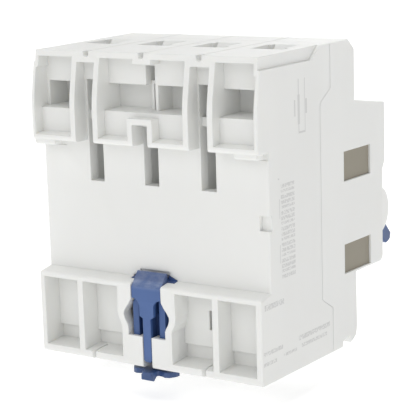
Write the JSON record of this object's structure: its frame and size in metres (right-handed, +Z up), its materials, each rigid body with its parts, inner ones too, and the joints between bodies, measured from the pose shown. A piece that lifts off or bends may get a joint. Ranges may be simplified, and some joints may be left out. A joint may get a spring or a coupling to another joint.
{
  "type": "residual current device",
  "caption": "Rail-mounted multi-pole residual current device with toggle, test button, contact indicator, cage terminals and a sliding rail clip.",
  "frame": {"origin": "centre of the rear seat face that meets the mounting rail", "axes": "+X to the right seen from the front, +Y towards the rail, +Z up"},
  "size_m": [0.072, 0.0779, 0.0877],
  "materials": {
    "housing_plastic": "fine matt moulded warm white",
    "blue_plastic": "satin blue moulded plastic",
    "plug_plastic": "matt olive beige",
    "zinc_steel": "zinc-plated steel",
    "copper": "copper",
    "spring_steel": "bright drawn wire",
    "inner_plastic": "dark engineering plastic",
    "ferrite": "dark strip-wound core",
    "circuit_board": "green laminate",
    "component_plastic": "dark moulded components",
    "resistor_body": "lacquered resistor",
    "button_plastic": "light grey test button",
    "clear_plastic": "clear lens",
    "flag_paint": "flag, green half shown when off and red half when on",
    "label_film": "plain label film"
  },
  "bodies": {
    "housing": {"base_housing": "housing_plastic", "front_cover": "housing_plastic", "right_upper_window_plug": "plug_plastic", "right_lower_window_plug": "plug_plastic", "left_upper_window_plug": "plug_plastic", "left_lower_window_plug": "plug_plastic", "toggle_pin": "zinc_steel", "carrier_shaft": "zinc_steel", "arc_splitter_plates": "zinc_steel", "transformer_case": "inner_plastic", "secondary_winding": "copper", "transformer_core": "ferrite", "trip_relay": "component_plastic", "trip_spring": "spring_steel", "trip_lever_pin": "zinc_steel", "relay_board": "circuit_board", "board_components": "component_plastic", "test_spring": "spring_steel", "test_contact": "copper", "test_resistor": "resistor_body", "indicator_lens": "clear_plastic", "front_label": "label_film", "line_bar_1": "copper", "line_bar_2": "copper", "line_bar_3": "copper", "line_bar_4": "copper", "load_conductor_1": "copper", "load_conductor_2": "copper", "load_conductor_3": "copper", "load_conductor_4": "copper"},
    "toggle": {"toggle": "blue_plastic"},
    "link": {"link_rod": "spring_steel"},
    "contacts": {"contact_carrier": "inner_plastic", "contact_springs": "spring_steel", "moving_contact_1": "copper", "moving_contact_2": "copper", "moving_contact_3": "copper", "moving_contact_4": "copper"},
    "flag": {"indicator_flag": "flag_paint"},
    "button": {"test_button": "button_plastic"},
    "plunger": {"trip_plunger": "zinc_steel"},
    "trip_lever": {"trip_lever": "inner_plastic"},
    "rail_clip": {"rail_clip": "blue_plastic"},
    "line_screw_1": {"line_screw_1": "zinc_steel"},
    "line_cage_1": {"line_cage_1": "zinc_steel"},
    "load_screw_1": {"load_screw_1": "zinc_steel"},
    "load_cage_1": {"load_cage_1": "zinc_steel"},
    "line_screw_2": {"line_screw_2": "zinc_steel"},
    "line_cage_2": {"line_cage_2": "zinc_steel"},
    "load_screw_2": {"load_screw_2": "zinc_steel"},
    "load_cage_2": {"load_cage_2": "zinc_steel"},
    "line_screw_3": {"line_screw_3": "zinc_steel"},
    "line_cage_3": {"line_cage_3": "zinc_steel"},
    "load_screw_3": {"load_screw_3": "zinc_steel"},
    "load_cage_3": {"load_cage_3": "zinc_steel"},
    "line_screw_4": {"line_screw_4": "zinc_steel"},
    "line_cage_4": {"line_cage_4": "zinc_steel"},
    "load_screw_4": {"load_screw_4": "zinc_steel"},
    "load_cage_4": {"load_cage_4": "zinc_steel"}
  },
  "joints": [
    {"name": "toggle_swing", "type": "hinge", "parent": "housing", "child": "toggle", "pos_m": [-0.027, -0.0582, -0.007], "axis": [-1, 0, 0], "range_deg": [0, 78]},
    {"name": "link_hinge", "type": "hinge", "parent": "toggle", "child": "link", "pos_m": [-0.0224, -0.05925, -0.00356], "axis": [-1, 0, 0], "range_deg": [-77.12, 0]},
    {"name": "contact_swing", "type": "hinge", "parent": "housing", "child": "contacts", "pos_m": [0, -0.0305, 0.003], "axis": [-1, 0, 0], "range_deg": [0, 20]},
    {"name": "flag_slide", "type": "slide", "parent": "housing", "child": "flag", "axis": [0, 0, -1], "range_m": [0, 0.005]},
    {"name": "button_press", "type": "slide", "parent": "housing", "child": "button", "axis": [0, 1, 0], "range_m": [0, 0.0018], "stiffness_N_per_m": 400, "springref_m": -0.002, "deforming": ["test_spring"]},
    {"name": "plunger_slide", "type": "slide", "parent": "housing", "child": "plunger", "axis": [0, 0, 1], "range_m": [0, 0.0015], "deforming": ["trip_spring"]},
    {"name": "trip_lever_swing", "type": "hinge", "parent": "housing", "child": "trip_lever", "pos_m": [-0.0065, -0.05, -0.0016], "axis": [0, -1, 0], "range_deg": [0, 8.5]},
    {"name": "clip_slide", "type": "slide", "parent": "housing", "child": "rail_clip", "axis": [0, 0, -1], "range_m": [0, 0.0045], "stiffness_N_per_m": 1500, "springref_m": -0.004},
    {"name": "line_screw_turn_1", "type": "hinge", "parent": "housing", "child": "line_screw_1", "pos_m": [0.027, -0.033, 0.033], "axis": [0, 1, 0], "range_deg": [0, 2250]},
    {"name": "line_cage_slide_1", "type": "slide", "parent": "housing", "child": "line_cage_1", "axis": [0, -1, 0], "range_m": [0, 0.005]},
    {"name": "line_screw_turn_2", "type": "hinge", "parent": "housing", "child": "line_screw_2", "pos_m": [0.009, -0.033, 0.033], "axis": [0, 1, 0], "range_deg": [0, 2250]},
    {"name": "line_cage_slide_2", "type": "slide", "parent": "housing", "child": "line_cage_2", "axis": [0, -1, 0], "range_m": [0, 0.005]},
    {"name": "line_screw_turn_3", "type": "hinge", "parent": "housing", "child": "line_screw_3", "pos_m": [-0.009, -0.033, 0.033], "axis": [0, 1, 0], "range_deg": [0, 2250]},
    {"name": "line_cage_slide_3", "type": "slide", "parent": "housing", "child": "line_cage_3", "axis": [0, -1, 0], "range_m": [0, 0.005]},
    {"name": "line_screw_turn_4", "type": "hinge", "parent": "housing", "child": "line_screw_4", "pos_m": [-0.027, -0.033, 0.033], "axis": [0, 1, 0], "range_deg": [0, 2250]},
    {"name": "line_cage_slide_4", "type": "slide", "parent": "housing", "child": "line_cage_4", "axis": [0, -1, 0], "range_m": [0, 0.005]},
    {"name": "load_screw_turn_1", "type": "hinge", "parent": "housing", "child": "load_screw_1", "pos_m": [0.027, -0.033, -0.033], "axis": [0, 1, 0], "range_deg": [0, 2250]},
    {"name": "load_cage_slide_1", "type": "slide", "parent": "housing", "child": "load_cage_1", "axis": [0, -1, 0], "range_m": [0, 0.005]},
    {"name": "load_screw_turn_2", "type": "hinge", "parent": "housing", "child": "load_screw_2", "pos_m": [0.009, -0.033, -0.033], "axis": [0, 1, 0], "range_deg": [0, 2250]},
    {"name": "load_cage_slide_2", "type": "slide", "parent": "housing", "child": "load_cage_2", "axis": [0, -1, 0], "range_m": [0, 0.005]},
    {"name": "load_screw_turn_3", "type": "hinge", "parent": "housing", "child": "load_screw_3", "pos_m": [-0.009, -0.033, -0.033], "axis": [0, 1, 0], "range_deg": [0, 2250]},
    {"name": "load_cage_slide_3", "type": "slide", "parent": "housing", "child": "load_cage_3", "axis": [0, -1, 0], "range_m": [0, 0.005]},
    {"name": "load_screw_turn_4", "type": "hinge", "parent": "housing", "child": "load_screw_4", "pos_m": [-0.027, -0.033, -0.033], "axis": [0, 1, 0], "range_deg": [0, 2250]},
    {"name": "load_cage_slide_4", "type": "slide", "parent": "housing", "child": "load_cage_4", "axis": [0, -1, 0], "range_m": [0, 0.005]}
  ],
  "couplings": [
    {"joint": "link_hinge", "follows": "toggle_swing", "ratio": -0.98872},
    {"joint": "contact_swing", "follows": "toggle_swing", "ratio": 0.25641},
    {"joint": "flag_slide", "follows": "toggle_swing", "m_per_rad": 0.0036728},
    {"joint": "trip_lever_swing", "follows": "plunger_slide", "rad_per_m": 98.902},
    {"joint": "line_screw_turn_1", "follows": "line_cage_slide_1", "rad_per_m": 7853.9},
    {"joint": "line_screw_turn_2", "follows": "line_cage_slide_2", "rad_per_m": 7853.9},
    {"joint": "line_screw_turn_3", "follows": "line_cage_slide_3", "rad_per_m": 7853.9},
    {"joint": "line_screw_turn_4", "follows": "line_cage_slide_4", "rad_per_m": 7853.9},
    {"joint": "load_screw_turn_1", "follows": "load_cage_slide_1", "rad_per_m": 7853.9},
    {"joint": "load_screw_turn_2", "follows": "load_cage_slide_2", "rad_per_m": 7853.9},
    {"joint": "load_screw_turn_3", "follows": "load_cage_slide_3", "rad_per_m": 7853.9},
    {"joint": "load_screw_turn_4", "follows": "load_cage_slide_4", "rad_per_m": 7853.9}
  ]
}
